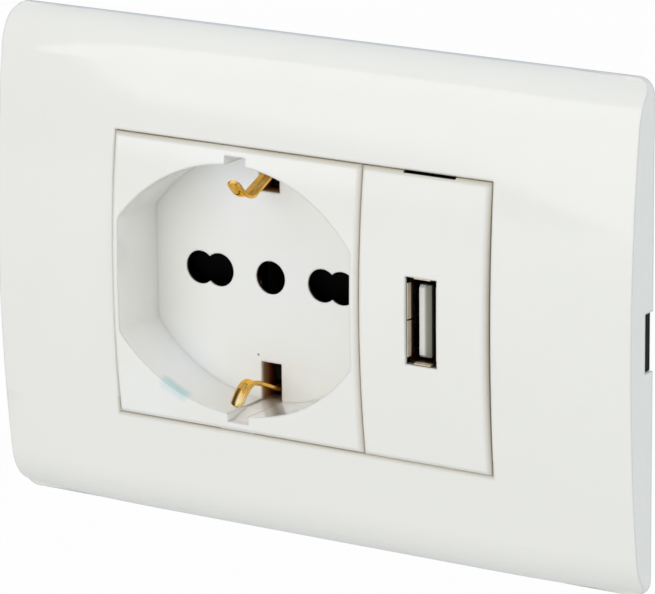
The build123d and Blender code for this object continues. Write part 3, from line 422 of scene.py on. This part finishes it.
# The plating is rubbed dull by plugs, so that it shines only in part.
nickel.node_tree.nodes["Principled BSDF"].inputs["Metallic"].default_value = 0.4
# Painted shade: the shell is painted dark from just inside its mouth.
shell_shade = ramp(nickel, "Y", mouth + 0.6 * MM, mouth + 0.8 * MM)
tint(nickel, shell_shade, "#28120A")
dress(nickel, "usb_shell")
tongue_white = moulded("white_tongue", "#FAF9F2", "#FFFEF8", roughness=0.4, grain_mm=0.4, depth_mm=0.01)
# Painted shade: the tongue's side and its deeper part are painted darker.
tongue_flank_shade = ramp(tongue_white, "X", PORT_X - 0.8 * MM, PORT_X - 0.4 * MM)
tongue_shade = ramp(tongue_white, "Y", tongue_front + 0.3 * MM, tongue_front + 1.3 * MM)
tint(tongue_white, tongue_flank_shade, "#A6A494")
tint(tongue_white, tongue_shade, "#2A1A10")
dress(tongue_white, "usb_insulator")
gilt = metal("gilt_strip", "#D8A850", "#EAC474", roughness=0.22, patch_mm=1.0, streak=ALONG_Y)
# Painted shade: the contact strips are painted dark brown with depth.
gilt_shade = ramp(gilt, "Y", tongue_front, tongue_front + 2.0 * MM)
tint(gilt, gilt_shade, "#3C1A08")
dress(gilt, "usb_contacts")

# Charger board and its parts
# A laminate board with a transformer, capacitors, a rectifier, a chip, a choke and a terminal block.
# They are soldered on: green lacquer, grey ferrite, yellow tape, dark sleeves and epoxy, with a low sheen.
for finish, low, high, roughness, grain_mm, depth_mm, names in (
        ("green_laminate", "#0F4A26", "#14562E", 0.35, 0.6, 0.01, ("circuit_board",)),
        ("ferrite", "#2A2A2C", "#343436", 0.6, 0.3, 0.02, ("transformer_core", "filter_choke")),
        ("winding_tape", "#D8A818", "#E6B82C", 0.35, 0.8, 0.02, ("transformer_winding",)),
        ("shrunk_sleeve", "#101420", "#182030", 0.25, 1.0, 0.01, ("input_capacitor", "output_capacitor")),
        ("black_epoxy", "#101010", "#181818", 0.55, 0.3, 0.01, ("rectifier", "controller_chip")),
        ("green_terminal", "#1E6A40", "#24784A", 0.45, 0.5, 0.01, ("usb_terminal_block",))):
    dress(moulded(finish, low, high, roughness, grain_mm, depth_mm), *names)

# Cover plate
# The arched plate that shows round the modules, clipped over the frame.
# White ABS from a polished mould, with a clear but slightly soft gloss. Narrow gaps and corners are darkened
# brown, as dust and painted shade, and the window's lower edge carries painted shade.
def white_gloss(name, shine):
    """White polished plastic, darkened brown in the gaps at its front as dust and painted shade: a little in
    corners, more in deep gaps.
    """
    material = moulded(
        name, "#F3F2EC", "#F6F5EF", roughness=0.07, grain_mm=0.6, depth_mm=0.001, edge_mm=0.6, shine=shine)
    tree = material.node_tree
    shelter = add(tree, "ShaderNodeAmbientOcclusion", {"Distance": 1.0 * MM}, samples=16)
    front = ramp(material, "Y", -5.5 * MM, -6.0 * MM)
    # Ambient occlusion darkens gaps and corners brown: dust and painted shade.
    for least, most, amount, colour in ((0.8, 0.4, 0.3, "#B8AE9E"), (0.35, 0.05, 1.0, "#C8A878")):
        shade_and_dust = add(tree, "ShaderNodeMapRange", {
            "Value": shelter.outputs["AO"], "From Min": least, "From Max": most, "To Max": amount})
        share = add(tree, "ShaderNodeMath", {0: shade_and_dust.outputs["Result"], 1: front}, operation="MULTIPLY")
        tint(material, share.outputs["Value"], colour)
    return material


plate_white = white_gloss("white_plate_plastic", shine=0.5)
# Painted shade along the lower edge of the plate's window.
WINDOW_EDGE_SHADE = ((-34.4, -20.0, -23.3), (34.4, -5.5, -20.0))
tint(plate_white, within(plate_white, WINDOW_EDGE_SHADE, 0.7), "#D2CCBE")
dress(plate_white, "cover_plate")

# USB front
# The charger's face, snapped into the frame, with the port's opening and a slot for a release blade.
# The same white ABS, a little less glossy. Its edges beside the gaps carry painted shade, and its port
# opening and release slot are painted near black as painted shade.
usb_white = white_gloss("white_usb_plastic", shine=0.15)
PORT_SHADE = ((19.4, -8.6, -7.0), (25.6, 6.0, 7.0))
RIGHT_GAP_SHADE = ((33.1, -20.0, -30.0), (40.0, -5.5, 30.0))
TOP_GAP_SHADE = ((-40.0, -20.0, 21.7), (40.0, -5.5, 30.0))
SLOT_SHADE = ((18.45, -12.0, 22.14), (27.55, 0.0, 22.6))
# Painted shade: the port opening and release slot painted near black, and the top and right edges darkened
# beside the gaps.
for box, soft, colour in (
        (PORT_SHADE, 0.3, "#0C0806"), (RIGHT_GAP_SHADE, 0.6, "#D0CABA"), (TOP_GAP_SHADE, 0.75, "#C8C0AC"),
        (SLOT_SHADE, 0.06, "#060505")):
    tint(usb_white, within(usb_white, box, soft), colour)
dress(usb_white, "usb_front")

# Socket front
# The face with the recess for the plug, snapped into the frame. White ABS, painted lighter in the recess as
# painted light, brightest at its corners and notches.
# The holes and windows are painted dark behind the floor as painted shade. The recess has a speck and a
# smear, and its lower wall a painted reflection of a dark clip window.
socket_white = white_gloss("white_socket_plastic", shine=0.45)
# Painted shade on the socket's edges beside the middle and top gaps.
MIDDLE_GAP_SHADE = ((10.5, -20.0, -30.0), (20.0, -5.5, 30.0))
tint(socket_white, within(socket_white, MIDDLE_GAP_SHADE, 0.75), "#DED6C8")
tint(socket_white, within(socket_white, TOP_GAP_SHADE, 0.75), "#C8C0AC")

RECESS_FLOOR = 1.8
# Painted light: the recess floor painted lighter around its middle, and four spots at its corners and
# notches painted brighter still.
tint(socket_white, near(socket_white, 26.0, (-8.0, RECESS_FLOOR, 0.0)), "#F7F7F4")
for spot, reach in (
        ((-28.0, RECESS_FLOOR, -19.0), 14.0), ((-16.0, RECESS_FLOOR, 17.0), 14.0),
        ((-11.2, -4.0, 19.0), 6.0), ((-12.0, -3.0, -20.5), 6.0)):
    tint(socket_white, near(socket_white, reach, spot), "#FDFEFF")

# Painted shade: the pin holes and clip windows are painted dark brown to near black behind the recess floor.
for depth, soft, colour in ((0.0, 0.25, "#5A4438"), (0.1, 0.5, "#0A0604")):
    hole_shade_box = ((-30.0, RECESS_FLOOR + depth, -8.0), (8.0, 14.0, 8.0))
    tint(socket_white, within(socket_white, hole_shade_box, soft), colour)
for low, high in CLIP_WINDOW_HEIGHTS:
    for depth, soft, colour in ((0.0, 0.9, "#B89058"), (1.2, 1.2, "#9A5236"), (2.2, 1.2, "#4A1C0C")):
        window_shade_box = ((-15.5, RECESS_FLOOR + depth, low), (-7.0, 14.0, high))
        tint(socket_white, within(socket_white, window_shade_box, soft), colour)

SPECK = (-13.67, RECESS_FLOOR, -12.61)
SMEAR_ENDS = ((-24.6, -7.3, -16.4), (-21.4, -7.3, -17.8))
WALL_REFLECTION_ENDS = ((-11.3, 2.0, -19.9), (-4.8, -6.2, -18.9))
tint(socket_white, near(socket_white, 0.3, SPECK), "#2A2420")
tint(socket_white, near(socket_white, 1.7, *SMEAR_ENDS), "#C4E2E4")
# Painted reflection: a grey band on the recess's lower wall stands in for the dark clip window mirrored
# there.
tint(socket_white, near(socket_white, 1.4, *WALL_REFLECTION_ENDS), "#C4BCAC")
dress(socket_white, "socket_front")

# Floor
# A plain pale sheet well below the object, wide enough to fill the view.
# Matt card that shows to the camera as nearly pure white.
FLOOR_HALF = 3.0
FLOOR_Z = cad_box[0].z - 100 * MM
CAMERA_GLOW = 0.97
floor_mesh = bpy.data.meshes.new("floor")
floor_corners = [(x * FLOOR_HALF, y * FLOOR_HALF, FLOOR_Z) for x, y in ((-1, -1), (1, -1), (1, 1), (-1, 1))]
floor_mesh.from_pydata(floor_corners, [], [(0, 1, 2, 3)])
floor = bpy.data.objects.new("floor", floor_mesh)
bpy.context.scene.collection.objects.link(floor)
floor_card, tree, shader = blank_material("pale_floor")
shader.inputs["Base Color"].default_value = linear("#F2F2F0")
shader.inputs["Roughness"].default_value = 0.7
glow = add(tree, "ShaderNodeEmission", {"Color": linear("#FFFFFF"), "Strength": 1.0})
seen = add(tree, "ShaderNodeLightPath").outputs["Is Camera Ray"]
share = add(tree, "ShaderNodeMath", {0: seen, 1: CAMERA_GLOW}, operation="MULTIPLY")
mixed = add(tree, "ShaderNodeMixShader", {
    0: share.outputs["Value"], 1: shader.outputs["BSDF"], 2: glow.outputs["Emission"]})
tree.links.new(mixed.outputs["Shader"], tree.nodes["Material Output"].inputs["Surface"])
floor_mesh.materials.append(floor_card)

# Studio light
# White to the camera and an even pale grey on matt surfaces. Gloss and brass mirror a bright ceiling,
# a dark right side and upper corner, and a blue-grey back. Three soft boxes light the object.
world = bpy.data.worlds.new("studio")
world.use_nodes = True
bpy.context.scene.world = world
tree = world.node_tree
ray = add(tree, "ShaderNodeLightPath").outputs
heading = add(tree, "ShaderNodeTexCoord").outputs["Generated"]
parts = add(tree, "ShaderNodeSeparateXYZ", {"Vector": heading}).outputs
rightward = add(tree, "ShaderNodeMapRange", {"Value": parts["X"], "From Min": 0.0, "From Max": 0.5})
above = add(tree, "ShaderNodeMapRange", {"Value": parts["Z"], "From Min": 0.35, "From Max": 0.75})
aside = add(tree, "ShaderNodeMapRange", {"Value": parts["X"], "From Min": -0.5, "From Max": -0.2})
corner = add(tree, "ShaderNodeMath", {
    0: above.outputs["Result"], 1: aside.outputs["Result"]}, operation="MULTIPLY")
dark = add(tree, "ShaderNodeMath", {
    0: rightward.outputs["Result"], 1: corner.outputs["Value"]}, operation="MAXIMUM")
ceiling = add(tree, "ShaderNodeMix", {
    "Factor": above.outputs["Result"], "A": linear("#D0D2D6"), "B": linear("#FFFFFF")}, data_type="RGBA")
ahead = add(tree, "ShaderNodeMix", {
    "Factor": dark.outputs["Value"], "A": ceiling.outputs["Result"], "B": linear("#2C241C")},
    data_type="RGBA")
behind = add(tree, "ShaderNodeMapRange", {"Value": parts["Y"], "From Min": -0.1, "From Max": 0.3})
mirrored = add(tree, "ShaderNodeMix", {
    "Factor": behind.outputs["Result"], "A": ahead.outputs["Result"], "B": linear("#A4B2C8")},
    data_type="RGBA")
ambient = add(tree, "ShaderNodeMix", {
    "Factor": ray["Is Diffuse Ray"], "A": mirrored.outputs["Result"], "B": linear("#BCC0C4")},
    data_type="RGBA")
backdrop = add(tree, "ShaderNodeMix", {
    "Factor": ray["Is Camera Ray"], "A": ambient.outputs["Result"], "B": linear("#FFFFFF")},
    data_type="RGBA")
tree.links.new(backdrop.outputs["Result"], tree.nodes["Background"].inputs["Color"])

LAMP_DISTANCE = 1.2
# Watts that give a square metre of lamp a radiance of one, which shows a colour about as it is written.
WATTS_PER_AREA = 4


def soft_box(name, azimuth, elevation, width, height, radiance, colour, roll=0.0):
    """Rectangular lamp that faces the object, at angles in degrees: to the right of straight out, and up."""
    lamp = bpy.data.lights.new(name, "AREA")
    lamp.shape = "RECTANGLE"
    lamp.size = width
    lamp.size_y = height
    lamp.energy = radiance * WATTS_PER_AREA * width * height
    lamp.color = linear(colour)[:3]
    lamp_object = bpy.data.objects.new(name, lamp)
    bpy.context.scene.collection.objects.link(lamp_object)
    turn, rise = radians(azimuth), radians(elevation)
    towards = Vector((sin(turn) * cos(rise), -cos(turn) * cos(rise), sin(rise)))
    facing = towards.to_track_quat("Z", "Y").to_matrix().to_4x4()
    lean = Matrix.Rotation(radians(roll), 4, "Z")
    lamp_object.matrix_world = Matrix.Translation(towards * LAMP_DISTANCE) @ facing @ lean
    lamp_object.visible_camera = False


soft_box("key_box", -19.0, 15.5, width=1.12, height=0.868, radiance=1.14, colour="#FFFCF8", roll=-15.0)
soft_box("right_fill", 80.0, 20.0, width=1.0, height=1.0, radiance=0.75, colour="#F0F5FF")
soft_box("top_fill", 50.0, 60.0, width=1.0, height=1.0, radiance=0.5, colour="#FFFFFF")

# Camera
# It stands where the photograph was taken from, far off to the right of the object and above it.
# The lens is long, so the perspective is nearly flat.
TURN, RISE, ROLL = radians(32.818), radians(14.924), radians(-0.502)
FOCAL_PX, WIDTH_PX = 4998.5, 655
SHIFT_RIGHT, SHIFT_UP, CAMERA_DISTANCE = -0.015 * MM, -1.188 * MM, 763.27 * MM
AIM = Vector((0.0, 0.53 * MM, 0.0))
back = Vector((sin(TURN) * cos(RISE), -cos(TURN) * cos(RISE), sin(RISE)))
level = Vector((cos(TURN), sin(TURN), 0.0))
upright = back.cross(level)
right = cos(ROLL) * level + sin(ROLL) * upright
up = cos(ROLL) * upright - sin(ROLL) * level
camera_data = bpy.data.cameras.new("camera")
camera_data.sensor_width = 36.0
camera_data.lens = FOCAL_PX / WIDTH_PX * camera_data.sensor_width
camera = bpy.data.objects.new("camera", camera_data)
camera.matrix_world = Matrix((right, up, back)).transposed().to_4x4()
camera.location = AIM + SHIFT_RIGHT * right + SHIFT_UP * up + CAMERA_DISTANCE * back
bpy.context.scene.collection.objects.link(camera)
bpy.context.scene.camera = camera
bpy.context.scene.view_settings.view_transform = "Standard"
